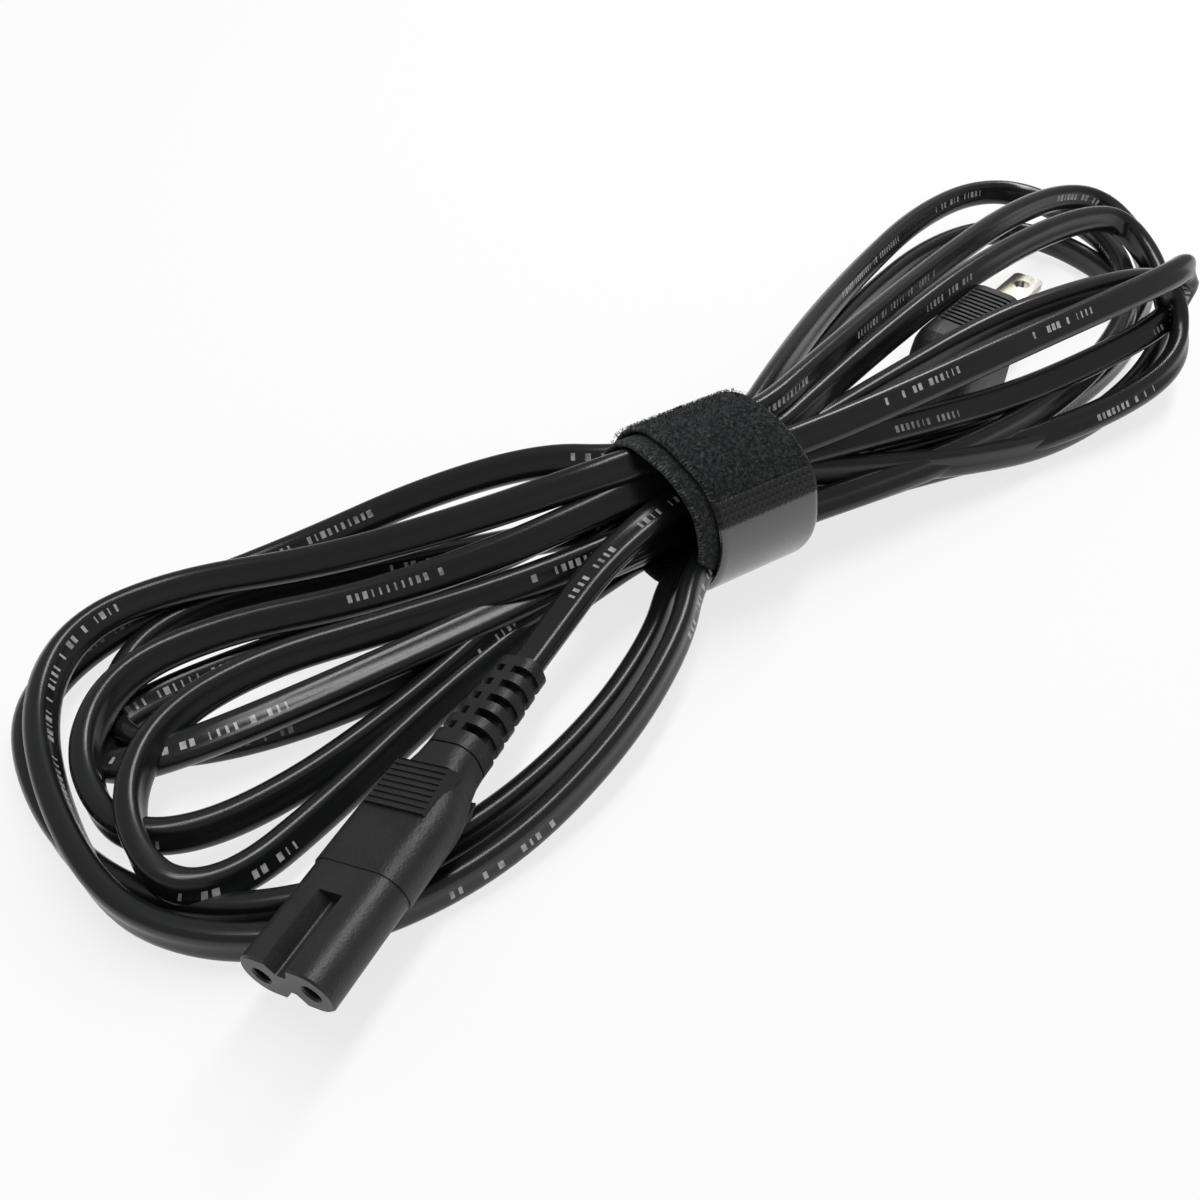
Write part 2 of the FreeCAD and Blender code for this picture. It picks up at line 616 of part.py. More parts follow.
def build():
    """Every piece of the set, by name, in place."""
    roll = FreeCAD.Placement(vec(0, 0, 0), FreeCAD.Rotation(ALONG, CONNECTOR_ROLL))
    unroll = roll.inverse()
    nodes = {}

    lead_points = []
    for point in LEAD_ROUTE:
        spot = unroll.multVec(vec(*point))
        lead_points.append((spot.x, spot.y, spot.z))
    lead_profile = rounded_section(JACKET_START, CORD_WIDTH, CORD_THICKNESS, CORD_EDGE_RADIUS)
    lead = swept(lead_profile, lead_points, "cord_lead")

    connector = {"contact_carrier": contact_carrier()}
    core_solids = []
    for side, name in ((1, "left"), (-1, "right")):
        y = side * PIN_PITCH / 2
        conductor, jacket = core_pair(y)
        connector["contact_" + name] = contact(y)
        connector["conductor_" + name] = conductor
        connector["insulation_" + name] = jacket.cut(conductor)
        core_solids += [jacket, conductor]
    connector["connector_overmould"] = connector_overmould(core_solids)
    for name, shape in connector.items():
        nodes[name] = placed(shape, roll)

    hank = cord_hank()
    waist = waist_rod()
    waist.Placement = HANK_PLACE
    nodes["cord_hank"] = hank
    nodes["cord_lead"] = placed(lead, roll).cut(waist)
    nodes["tie_loop_tape"] = tie_tape([0, 1, 2])
    nodes["tie_hook_tape"] = tie_tape([3])

    plug_lead = swept(plug_cord_section(), plug_lead_route(), "plug_lead")
    plug = {}
    cavities = [plug_bridge_block()]
    bridge = plug_bridge_block()
    for side, name in ((1, "upper"), (-1, "lower")):
        z = side * BLADE_PITCH / 2
        conductor, jacket = plug_core_pair(z)
        plug["plug_blade_" + name] = blade(z).cut(conductor)
        plug["plug_conductor_" + name] = conductor
        plug["plug_insulation_" + name] = jacket.cut(conductor)
        cavities += [blade(z), jacket, conductor]
        bridge = bridge.cut([blade(z)])
    plug["plug_bridge"] = bridge
    plug["plug_overmould"] = plug_overmould(cavities)
    for name, shape in plug.items():
        nodes[name] = placed(shape, PLUG_PLACE)
    nodes["plug_lead"] = placed(plug_lead, PLUG_PLACE).cut(waist)
    return nodes


os.makedirs("parts", exist_ok=True)
for node_name, node_shape in build().items():
    print(node_name, node_shape.ShapeType, "solids", len(node_shape.Solids), "valid", node_shape.isValid(),
          "volume", round(node_shape.Volume, 1))
    node_shape.exportStep("parts/" + node_name + ".step")
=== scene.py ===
import math
import random

import bpy
import numpy as np
from mathutils import Matrix, Vector, noise


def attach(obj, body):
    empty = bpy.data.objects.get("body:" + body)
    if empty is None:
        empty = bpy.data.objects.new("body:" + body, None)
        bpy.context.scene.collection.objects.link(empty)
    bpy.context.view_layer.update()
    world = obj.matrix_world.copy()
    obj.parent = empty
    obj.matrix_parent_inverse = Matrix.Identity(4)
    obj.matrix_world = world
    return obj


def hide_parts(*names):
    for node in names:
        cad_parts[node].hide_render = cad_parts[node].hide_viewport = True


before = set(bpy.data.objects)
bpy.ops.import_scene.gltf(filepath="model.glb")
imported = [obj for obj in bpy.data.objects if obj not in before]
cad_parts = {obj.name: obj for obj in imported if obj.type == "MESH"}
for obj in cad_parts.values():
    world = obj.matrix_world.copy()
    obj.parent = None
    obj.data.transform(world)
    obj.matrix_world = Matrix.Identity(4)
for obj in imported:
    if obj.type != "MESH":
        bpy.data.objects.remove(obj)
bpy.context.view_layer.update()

# The cord's and the tie's sizes are in millimetres, and the materials, lights and finished meshes in metres.
# The connector's axis is at AXIS_HEIGHT above the floor.
MM = 0.001
AXIS_HEIGHT = 11.4
FLOOR = -AXIS_HEIGHT * MM
scene = bpy.context.scene
scene.view_settings.view_transform = "Standard"


def link(name, data):
    """New object in the scene."""
    obj = bpy.data.objects.new(name, data)
    scene.collection.objects.link(obj)
    return obj


def ease(share):
    """Smooth step from 0 to 1."""
    share = max(0.0, min(1.0, share))
    return share * share * (3 - 2 * share)


# Camera in front of the connector's face and above it, looking down at 45 degrees across the hank
CAMERA_AT = Vector((-45.175, -66.931, 137.934)) * MM
CAMERA_AHEAD = Vector((0.62776, 0.32545, -0.70711))
SENSOR_WIDTH = 36.0
LENS = SENSOR_WIDTH
CLIP_START = 0.005
camera = link("camera", bpy.data.cameras.new("camera"))
camera.data.lens = LENS
camera.data.sensor_width = SENSOR_WIDTH
camera.data.clip_start = CLIP_START
camera.location = CAMERA_AT
camera.rotation_mode = "QUATERNION"
camera.rotation_quaternion = CAMERA_AHEAD.to_track_quat("-Z", "Y")
scene.camera = camera

# Cord: one spline from the connector through every turn of the hank to the plug. Its length is in metres.
CORD_WIDTH = 5.6
CORD_THICKNESS = 3.6
CORD_EDGE_RADIUS = 1.5
CORD_GROOVE = 0.14
CORNER_STEPS = 4
SPAN_STEPS = 12
# How many points of the line a change of lean is spread over, and the rise of a heading that counts as steep
LEAN_WINDOW = 25
STEEP = 0.45

# Hank points are along (u), across (v) and above the floor (w), from the middle of the waist.
WAIST_AT = (106.6, -11.0)
HANK_TURN = Matrix.Rotation(math.radians(-31.0), 4, "Z")
HANK = Matrix.Translation(Vector((*WAIST_AT, -AXIS_HEIGHT)) * MM) @ HANK_TURN
WAIST_HALF = 12.0
WAIST_POINT = 4.8

# Lead out of the connector, in the connector's frame
LEAD_POINTS = [(35.0, 0.0, 0.0), (51.4, 0.0, 0.0), (67.2, 0.0, 0.0), (82.0, -2.2, 5.2), (98.0, -8.2, 8.6)]
LEAD_LEANS = [107.5, 107.5, 106.0, 92.0, 72.0]
LEAD_SLOT = (-1.0, 20.0)
# Lead into the plug, in the hank's frame
PLUG_LEAD_POINTS = [(4.0, -1.0, 11.4), (21.2, -4.1, 11.4), (37.8, 1.3, 11.4), (55.3, 7.0, 11.4)]
PLUG_LEAD_LEAN = -180.0

# Each turn has a lobe either side of the tie: how far it reaches, where its tip lies across, how wide its
# far and near strands spread and how late they do so, the height of each strand and of the tip, the lean
# of each strand in degrees, and how blunt the tip is.
LOBE_FIELDS = ("reach", "tip", "far", "far_pinch", "near", "near_pinch", "far_lie", "near_lie", "tip_lie",
               "far_lean", "near_lean", "tip_power")
RIGHT_LOBES = [
    (121.5, 2, -4, 0.5, 5, 0.15, 25.5, 12, 18.7, -48, 42, 0.25),
    (135, 23, 12, 0.5, 30.5, 0.4, 24, 3.3, 14, -25, 20, 0.8),
    (146, 36, 19.5, 0.78, 28, 0.3, 20, 3.3, 10, -20, 25, 0.8),
    (141, 48, 36, 0.7, 40, 0.6, 10.5, 8.5, 8, -25, 30, 0.75),
    (136, 34, 40, 0.7, 33, 0.7, 6, 3.3, 3.3, -20, 10, 0.75),
    (117, -1, 4, 0.5, 15, 0.9, 25.6, 6.5, 15, -195, -145, 0.6),
]
LEFT_LOBES = [
    (108, -14, 34, 1.35, 26, 3.0, 9, 3.4, 9, -35, 35, 0.9),
    (111, -0.8, 37, 1.6, 24, 1.5, 9.3, 4, 7.5, -40, 30, 0.9),
    (116, -1, 55, 1.2, 42, 0.3, 8.5, 3.3, 8, -45, 15, 0.75),
    (118, 9, 33, 0.3, 46, 0.36, 4, 3.3, 3.3, -45, 20, 0.75),
    (108.5, 9, 12, 1.0, 11.5, 1.0, 3.2, 9, 3, -50, -111, 0.65),
    (104.5, 14, 31.5, 1.0, 16, 1.0, 3.3, 3.3, 3.0, -205, -140, 1.0),
]
# Where each pass enters and leaves the tie (v, w): the far side of each turn, right then left, and its near
# side, left then right
FAR_SLOTS = [
    ((-4.5, 24.5), (-0.8, 14)),
    ((1, 21), (2.2, 20.8)),
    ((4, 25), (4, 25)),
    ((8.5, 20), (8.5, 20)),
    ((7.5, 14.5), (7.5, 14.5)),
    ((3, 16.5), (6, 10.5)),
]
NEAR_SLOTS = [
    ((3, 5.2), (-1.2, 15.6)),
    ((4.5, 10.5), (3.5, 12)),
    ((-9, 12.5), (-9, 12.5)),
    ((-3.6, 5.9), (-3.6, 5.9)),
    ((0.6, 8.6), (-5, 9.6)),
    ((-1, 11.4), (-1, 11.4)),
]
# Control points of a lobe, the angle either side of its tip over which one strand turns into the other, and
# the share of its reach over which a strand goes from its height in the tie to its own
TURN_STEPS = 14
TIP_BLEND = 0.9
SETTLING_SHARE = 0.6


def lobe_points(lobe, start, end, side, far_first):
    """Points (u, v, w, lean) of one lobe, from its start slot in the tie round the tip to its end slot."""
    points = []
    for step in range(TURN_STEPS):
        theta = 2 * math.pi * (step + 0.5) / TURN_STEPS
        out = (1 - math.cos(theta)) / 2
        leaving = theta < math.pi
        strand = "far" if leaving == far_first else "near"
        late = ease((theta - math.pi + TIP_BLEND) / (2 * TIP_BLEND))
        farness = 1 - late if far_first else late
        mixed = {}
        for field in ("", "_pinch", "_lean"):
            mixed[field] = lobe["near" + field] + (lobe["far" + field] - lobe["near" + field]) * farness
        width = abs(math.sin(theta)) ** lobe["tip_power"]
        bulge = mixed[""] * width * out ** mixed["_pinch"]
        slot_v, slot_w = start if leaving else end
        lie = lobe["tip_lie"] + (lobe[strand + "_lie"] - lobe["tip_lie"]) * (width if out > 0.5 else 1)
        u = side * (WAIST_HALF + (lobe["reach"] - WAIST_HALF) * out)
        v = slot_v * (1 - out) + lobe["tip"] * out + (bulge if strand == "far" else -bulge)
        w = slot_w + (lie - slot_w) * ease(out / SETTLING_SHARE)
        points.append((u, v, w, mixed["_lean"]))
    return points


def cord_points():
    """Control points of the whole cord in metres, and the lean of its section at each."""
    lead = [Vector(point) * MM for point in LEAD_POINTS]
    turns = []
    inner = None
    near = LEAD_SLOT
    for right, left, far, back in zip(RIGHT_LOBES, LEFT_LOBES, FAR_SLOTS, NEAR_SLOTS):
        right = dict(zip(LOBE_FIELDS, right))
        left = dict(zip(LOBE_FIELDS, left))
        if inner:
            turns.append((-WAIST_POINT, *inner, right["near_lean"]))
        turns.append((WAIST_POINT, *near, right["near_lean"]))
        turns += lobe_points(right, near, far[0], 1, False)
        turns += [(WAIST_POINT, *far[0], right["far_lean"]), (-WAIST_POINT, *far[1], left["far_lean"])]
        turns += lobe_points(left, far[1], back[0], -1, True)
        inner, near = back
    turns.append((-WAIST_POINT, *inner, PLUG_LEAD_LEAN))
    turns += [(*point, PLUG_LEAD_LEAN) for point in PLUG_LEAD_POINTS]
    hank = [HANK @ (Vector(point[:3]) * MM) for point in turns]
    return lead + hank, LEAD_LEANS + [point[3] for point in turns]


def spline_points(points):
    """Points read from a smooth spline that has the given control points."""
    curve = bpy.data.curves.new("route", "CURVE")
    curve.dimensions = "3D"
    curve.resolution_u = SPAN_STEPS
    spline = curve.splines.new("NURBS")
    spline.points.add(len(points) - 1)
    for spot, point in zip(spline.points, points):
        spot.co = (*point, 1.0)
    spline.order_u = 3
    spline.use_endpoint_u = True
    holder = link("route", curve)
    bpy.context.view_layer.update()
    mesh = bpy.data.meshes.new_from_object(holder)
    line = [vertex.co.copy() for vertex in mesh.vertices]
    bpy.data.objects.remove(holder)
    bpy.data.meshes.remove(mesh)
    bpy.data.curves.remove(curve)
    return line


def cord_section():
    """Outline of the flat twin cord, (wide, thin) in metres, with a shallow groove in each flat side."""
    half_wide = CORD_WIDTH / 2 - CORD_EDGE_RADIUS
    half_thin = CORD_THICKNESS / 2 - CORD_EDGE_RADIUS
    outline = []
    for quarter, (p, q) in enumerate(((1, 1), (-1, 1), (-1, -1), (1, -1))):
        for step in range(CORNER_STEPS + 1):
            angle = math.radians(90 * (quarter + step / CORNER_STEPS))
            outline.append((p * half_wide + CORD_EDGE_RADIUS * math.cos(angle),
                            q * half_thin + CORD_EDGE_RADIUS * math.sin(angle)))
        if quarter % 2 == 0:
            flat = q * CORD_THICKNESS / 2
            for share in (0.5, 0.0, -0.5):
                sink = CORD_GROOVE * (1 - abs(share)) ** 2
                outline.append((p * half_wide * share, flat - q * sink))
    return [(p * MM, q * MM) for p, q in outline]


def smooth_values(values, count):
    """Values given at control points, spread evenly over a spline's read points."""
    places = np.linspace(0, len(values) - 2, count) + 0.5
    spread = np.interp(places, np.arange(len(values)), values)
    kernel = np.hanning(LEAN_WINDOW)
    padded = np.pad(spread, LEAN_WINDOW // 2, mode="edge")
    return np.convolve(padded, kernel / kernel.sum(), mode="valid")


def wide_axes(headings, leans):
    """The section's wide axis at each point: it leans from upright, and is carried over steep stretches."""
    axes = []
    for ahead, lean in zip(headings, leans):
        inward = Vector((0, 0, 1)).cross(ahead).normalized()
        upright = ahead.cross(inward)
        axes.append(upright * math.cos(math.radians(lean)) + inward * math.sin(math.radians(lean)))
    level = [index for index, ahead in enumerate(headings) if abs(ahead.z) < STEEP]
    for before, after in zip(level, level[1:]):
        for index in range(before + 1, after):
            axis = axes[before].lerp(axes[after], (index - before) / (after - before))
            axes[index] = (axis - headings[index] * axis.dot(headings[index])).normalized()
    return axes


def smooth_mesh(name, verts, faces, uvs):
    """New smooth object, with UVs given corner by corner."""
    mesh = bpy.data.meshes.new(name)
    mesh.from_pydata(verts, [], faces)
    layer = mesh.uv_layers.new(name="run")
    layer.data.foreach_set("uv", np.array(uvs, np.float32).ravel())
    mesh.polygons.foreach_set("use_smooth", [True] * len(faces))
    mesh.update()
    return link(name, mesh)


def flat_tube(name, line, leans, section):
    """Closed mesh of a section along a line; UV is the length run in metres and the share round it."""
    count = len(line)
    around = len(section)
    rings = np.zeros((count, around, 3))
    run = [0.0]
    for before, after in zip(line, line[1:]):
        run.append(run[-1] + (after - before).length)
    headings = [(line[min(i + 1, count - 1)] - line[max(i - 1, 0)]).normalized() for i in range(count)]
    for index, (point, ahead, wide) in enumerate(zip(line, headings, wide_axes(headings, leans))):
        thin = ahead.cross(wide)
        for corner, (p, q) in enumerate(section):
            rings[index, corner] = point + wide * p + thin * q
    faces = []
    uvs = []
    for index in range(count - 1):
        for corner in range(around):
            following = (corner + 1) % around
            a = index * around
            b = a + around
            faces.append((a + corner, a + following, b + following, b + corner))
            low = corner / around
            high = (corner + 1) / around
            uvs += [(run[index], low), (run[index], high), (run[index + 1], high), (run[index + 1], low)]
    faces.append(tuple(range(around - 1, -1, -1)))
    faces.append(tuple(range((count - 1) * around, count * around)))
    uvs += [(0.0, 0.0)] * around + [(run[-1], 0.0)] * around
    return smooth_mesh(name, rings.reshape(-1, 3).tolist(), faces, uvs)


cord_route, cord_leans = cord_points()
cord_line = spline_points(cord_route)
cord = flat_tube("cord", cord_line, smooth_values(cord_leans, len(cord_line)), cord_section())
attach(cord, "root")
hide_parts("cord_lead", "cord_hank", "plug_lead")


# Materials
class Nodes:
    """A new material's node tree, with short ways to add and join nodes."""

    def __init__(self, name):
        self.material = bpy.data.materials.new(name)
        self.material.use_nodes = True
        self.tree = self.material.node_tree
        self.shader = self.tree.nodes["Principled BSDF"]

    def add(self, kind, **settings):
        node = self.tree.nodes.new(kind)
        for key, value in settings.items():
            setattr(node, key, value)
        return node

    def join(self, output, target):
        self.tree.links.new(output, target)

    def put(self, target, value):
        """A socket's value: a link where it is another node's output, or else a constant."""
        if isinstance(value, bpy.types.NodeSocket):
            self.join(value, target)
        else:
            target.default_value = value

    def set(self, **inputs):
        for key, value in inputs.items():
            self.put(self.shader.inputs[key.replace("_", " ")], value)

    def math(self, operation, a, b=0.0):
        node = self.add("ShaderNodeMath", operation=operation)
        self.put(node.inputs[0], a)
        self.put(node.inputs[1], b)
        return node.outputs[0]

    def product(self, first, *others):
        for other in others:
            first = self.math("MULTIPLY", first, other)
        return first

    def coords(self, kind="Object"):
        return self.add("ShaderNodeTexCoord").outputs[kind]

    def uv(self):
        """The two UV coordinates."""
        split = self.add("ShaderNodeSeparateXYZ")
        self.join(self.coords("UV"), split.inputs[0])
        return split.outputs[0], split.outputs[1]

    def scaled(self, vector, scale):
        node = self.add("ShaderNodeMapping")
        self.join(vector, node.inputs["Vector"])
        node.inputs["Scale"].default_value = scale
        return node.outputs[0]

    def noise(self, vector, scale, detail=2.0, rough=0.5):
        node = self.add("ShaderNodeTexNoise")
        self.join(vector, node.inputs["Vector"])
        node.inputs["Scale"].default_value = scale
        node.inputs["Detail"].default_value = detail
        node.inputs["Roughness"].default_value = rough
        return node.outputs["Fac"]

    def cell_pick(self, value, pitch):
        """A number from 0 to 1 for the cell, one pitch long, that a value is in."""
        node = self.add("ShaderNodeTexWhiteNoise", noise_dimensions="1D")
        self.join(self.math("FLOOR", self.math("DIVIDE", value, pitch)), node.inputs["W"])
        return node.outputs["Value"]

    def cell_offset(self, value, pitch):
        """How far a value is from the middle of its cell, in pitches."""
        return self.math("SUBTRACT", self.math("FRACT", self.math("DIVIDE", value, pitch)), 0.5)

    def ramp(self, value, low, high, to_low=0.0, to_high=1.0):
        node = self.add("ShaderNodeMapRange")
        self.join(value, node.inputs["Value"])
        for key, amount in (("From Min", low), ("From Max", high), ("To Min", to_low), ("To Max", to_high)):
            node.inputs[key].default_value = amount
        return node.outputs["Result"]

    def mix(self, share, a, b):
        node = self.add("ShaderNodeMix", data_type="RGBA")
        self.put(node.inputs["Factor"], share)
        self.put(node.inputs["A"], a)
        self.put(node.inputs["B"], b)
        return node.outputs["Result"]

    def bump(self, height, distance, strength, base=None):
        node = self.add("ShaderNodeBump")
        self.join(height, node.inputs["Height"])
        node.inputs["Distance"].default_value = distance
        node.inputs["Strength"].default_value = strength
        if base is not None:
            self.join(base, node.inputs["Normal"])
        return node.outputs["Normal"]


def dress(obj, material):
    """Gives an object one material."""
    obj.data.materials.clear()
    obj.data.materials.append(material)


def grey(value, blue=1.0):
    """Grey with its blue times a factor, and its green half way there."""
    return (value, value * (1 + (blue - 1) / 2), value * blue, 1.0)


# The span of a noise texture that its colours and roughness are spread over
NOISE_SPAN = (0.3, 0.7)
CORD_BLACK = grey(0.009, 1.12)
CORD_ROUGHNESS = (0.16, 0.27)
STREAK_SCALE = (25.0, 260.0, 1.0)
STREAK_DEPTH = 0.00004
# Print: a bar to a cell, in groups of cells. A share of the cells and of the groups stays blank. A bar's
# half width is a share of its cell. The band's place and half width are shares of half the way round.
PRINT_GREY = grey(0.6)
PRINT_CELL = 0.0013
PRINT_GROUP = 0.0182
BLANK_CELLS = 0.25
BLANK_GROUPS = 0.68
BAR_HALF_WIDTHS = (0.08, 0.36)
PRINT_MIDDLE = 0.5
PRINT_HALF_BAND = 0.075
WEAR_SCALE = 700.0
WEAR_SPAN = (0.3, 0.6)
INK_STRENGTH = (0.35, 0.8)


def cord_material():
    """Glossy black PVC with drawn lines along it and short rows of plain printed bars on its flat sides."""
    n = Nodes("cord_pvc")
    run, side = n.uv()
    streaks = n.noise(n.scaled(n.coords("UV"), STREAK_SCALE), 1.0, 3.0)
    wear = n.noise(n.coords(), WEAR_SCALE)
    cell = n.cell_pick(run, PRINT_CELL)
    group = n.cell_pick(run, PRINT_GROUP)
    along = n.math("ABSOLUTE", n.cell_offset(run, PRINT_CELL))
    half_round = n.math("FRACT", n.math("MULTIPLY", side, 2.0))
    across = n.math("ABSOLUTE", n.math("SUBTRACT", half_round, PRINT_MIDDLE))
    band = n.math("LESS_THAN", across, PRINT_HALF_BAND)
    bar = n.math("LESS_THAN", along, n.ramp(cell, BLANK_CELLS, 1.0, *BAR_HALF_WIDTHS))
    cell_shown = n.math("GREATER_THAN", cell, BLANK_CELLS)
    group_shown = n.math("GREATER_THAN", group, BLANK_GROUPS)
    ink = n.ramp(wear, *WEAR_SPAN, *INK_STRENGTH)
    printed = n.product(bar, band, cell_shown, group_shown, ink)
    n.set(Base_Color=n.mix(printed, CORD_BLACK, PRINT_GREY))
    n.set(Roughness=n.ramp(streaks, *NOISE_SPAN, *CORD_ROUGHNESS), Specular_IOR_Level=0.5)
    n.set(Normal=n.bump(streaks, STREAK_DEPTH, 0.3))
    return n.material


CLOUD_SCALE = 160.0
CLOUD_SPAN = (0.35, 0.65)
CLOUD_SHADES = (0.85, 1.2)
MOULDED_SPREAD = 0.05


def moulded_material(name, base, roughness, grain, depth):
    """Black moulded plastic with an eroded mould's fine grain."""
    n = Nodes(name)
    coords = n.coords()
    fine = n.noise(coords, grain, 2.0, 0.6)
    cloud = n.noise(coords, CLOUD_SCALE, 3.0)
    dark, light = (grey(base * shade, 1.05) for shade in CLOUD_SHADES)
    n.set(Base_Color=n.mix(n.ramp(cloud, *CLOUD_SPAN), dark, light))
    n.set(Roughness=n.ramp(cloud, *NOISE_SPAN, roughness - MOULDED_SPREAD, roughness + MOULDED_SPREAD))
    n.set(Normal=n.bump(fine, depth, 0.6))
    return n.material


LINE_SCALE = 400.0
LINE_DEPTH = 0.00002
METAL_SPREAD = 0.06


def metal_material(name, tint, roughness, stretch):
    """Drawn metal with fine lines along X."""
    n = Nodes(name)
    lines = n.noise(n.scaled(n.coords(), (stretch, 1.0, 1.0)), LINE_SCALE, 3.0)
    n.set(Base_Color=tint, Metallic=1.0)
    n.set(Roughness=n.ramp(lines, *NOISE_SPAN, roughness - METAL_SPREAD, roughness + METAL_SPREAD))
    n.set(Normal=n.bump(lines, LINE_DEPTH, 0.3))
    return n.material


dress(cord, cord_material())
moulded = moulded_material("moulded_pvc", base=0.0105, roughness=0.48, grain=2000.0, depth=0.00016)
nose = moulded_material("nose_plastic", base=0.014, roughness=0.42, grain=2600.0, depth=0.00009)
core_pvc = moulded_material("core_insulation", base=0.05, roughness=0.4, grain=2000.0, depth=0.00003)
blade_metal = metal_material("blade_metal", (0.80, 0.76, 0.68, 1.0), roughness=0.28, stretch=0.15)
brass = metal_material("contact_brass", (0.72, 0.55, 0.26, 1.0), roughness=0.3, stretch=0.2)
copper = metal_material("copper", (0.80, 0.42, 0.26, 1.0), roughness=0.35, stretch=0.2)
material_nodes = [
    (moulded, ("connector_overmould", "plug_overmould")),
    (nose, ("contact_carrier", "plug_bridge")),
    (blade_metal, ("plug_blade_upper", "plug_blade_lower")),
    (brass, ("contact_left", "contact_right")),
    (copper, ("conductor_left", "conductor_right", "plug_conductor_upper", "plug_conductor_lower")),
    (core_pvc, ("insulation_left", "insulation_right", "plug_insulation_upper", "plug_insulation_lower")),
]
for material, node_names in material_nodes:
    for node_name in node_names:
        dress(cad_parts[node_name], material)

# Hook-and-loop tie: a tape wound twice round the waist, soft pile first and smooth hook tape at its end.
# It is a spiral of half circles, and its last half turn lies on the floor. Angles along it are in degrees.
TIE_INNER_RADIUS = 12.45
TIE_PITCH = 1.45
TIE_THICKNESS = 1.4
TIE_HEIGHT = TIE_INNER_RADIUS + 1.5 * TIE_PITCH + TIE_THICKNESS
TIE_HALF_WIDTH = 10.0
PILE_END = 501.0
DOT_END = 519.0
TAPE_END = 720.0
LAST_HALF_TURN = 3
# Mean radius, in metres, along which the tape's UV runs
TAPE_RADIUS = 0.0148
# The tape lies a little askew: each turn swings along the hank and back, and the first is further left.
TIE_SKEW = -2.2
TIE_SWING = 2.4
SWING_OUT = (80.0, 155.0)
SWING_BACK = (230.0, 330.0)
FIRST_TURN_SHIFT = 3.2
SHIFT_BACK = (230.0, 430.0)
# Its mesh: degrees to a row, columns across the outer face, and the inner face's stride over them
TIE_STEP = 2.0
TIE_COLUMNS = 44
BACK_STRIDE = 4
# Its edges are thinner and wander, and the pile is uneven.
EDGE_SHARE = 0.06
EDGE_THINNING = 0.35
EDGE_WANDER = 0.22
WANDER_SCALE = 0.05
SECOND_EDGE_SEED = 9.0
FUZZ_HEIGHT = 0.16
FUZZ_SINK = 0.06
FUZZ_SCALE = (0.9, 60)
FUZZ_SEED = 3.1


def eased(angle, span):
    """How far an angle has come through a span of angles, from 0 to 1."""
    start, end = span
    return ease((angle - start) / (end - start))


def tie_spot(angle, across, rise):
    """Point of the wound tape: angle along it, millimetres across it and above its inner face."""
    half_turn = min(int(angle // 180), LAST_HALF_TURN)
    radius = TIE_INNER_RADIUS + half_turn * TIE_PITCH / 2 + rise
    centre = 0.0 if half_turn % 2 == 0 else TIE_PITCH / 2
    skew = TIE_SKEW + TIE_SWING * (eased(angle % 360, SWING_OUT) - eased(angle % 360, SWING_BACK))
    drift = -FIRST_TURN_SHIFT + FIRST_TURN_SHIFT * eased(angle, SHIFT_BACK) + skew
    turn = math.radians(angle)
    spot = Vector((drift + across, centre + radius * math.cos(turn), TIE_HEIGHT + radius * math.sin(turn)))
    return HANK @ (spot * MM)


def tape(name, start, end, fuzzy):
    """Closed mesh of a stretch of the tape between two angles; UV is along and across it in metres."""
    rows = int((end - start) / TIE_STEP)
    shares = [-1 + 2 * column / TIE_COLUMNS for column in range(TIE_COLUMNS + 1)]
    section = [(share, 1) for share in shares] + [(share, 0) for share in shares[::-BACK_STRIDE]]
    count = len(section)
    verts = []
    uvs = []
    for row in range(rows + 1):
        angle = start + (end - start) * row / rows
        for share, outer in section:
            edge = max(0.0, (abs(share) - (1 - EDGE_SHARE)) / EDGE_SHARE)
            rise = TIE_THICKNESS * (outer - EDGE_THINNING * edge * (2 * outer - 1))
            if outer and fuzzy:
                fuzz = noise.noise(Vector((angle * FUZZ_SCALE[0], share * FUZZ_SCALE[1], FUZZ_SEED)))
                rise += FUZZ_HEIGHT * fuzz - FUZZ_SINK
            wander = noise.noise(Vector((angle * WANDER_SCALE, SECOND_EDGE_SEED * (share > 0), 0)))
            verts.append(tie_spot(angle, TIE_HALF_WIDTH * share + EDGE_WANDER * wander, rise))
            uvs.append((math.radians(angle) * TAPE_RADIUS, TIE_HALF_WIDTH * share * MM))
    faces = []
    for row in range(rows):
        for index in range(count):
            following = (index + 1) % count
            a = row * count
            b = a + count
            faces.append((a + index, b + index, b + following, a + following))
    faces.append(tuple(range(count)))
    faces.append(tuple(range((rows + 1) * count - 1, rows * count - 1, -1)))
    return smooth_mesh(name, verts, faces, [uvs[corner] for face in faces for corner in face])


LOOP_SCALE = 1500.0
LOOP_DEPTH = 0.0005
PILE_CLOUD_SCALE = 260.0
PILE_DARK = grey(0.012, 1.1)
PILE_LIGHT = grey(0.068, 1.1)
SEWN_GREY = grey(0.13, 1.05)
SEWN_EDGE = (0.0091, 0.0096)
STITCH_PITCH = 0.0006
STITCH_GAP = 0.45


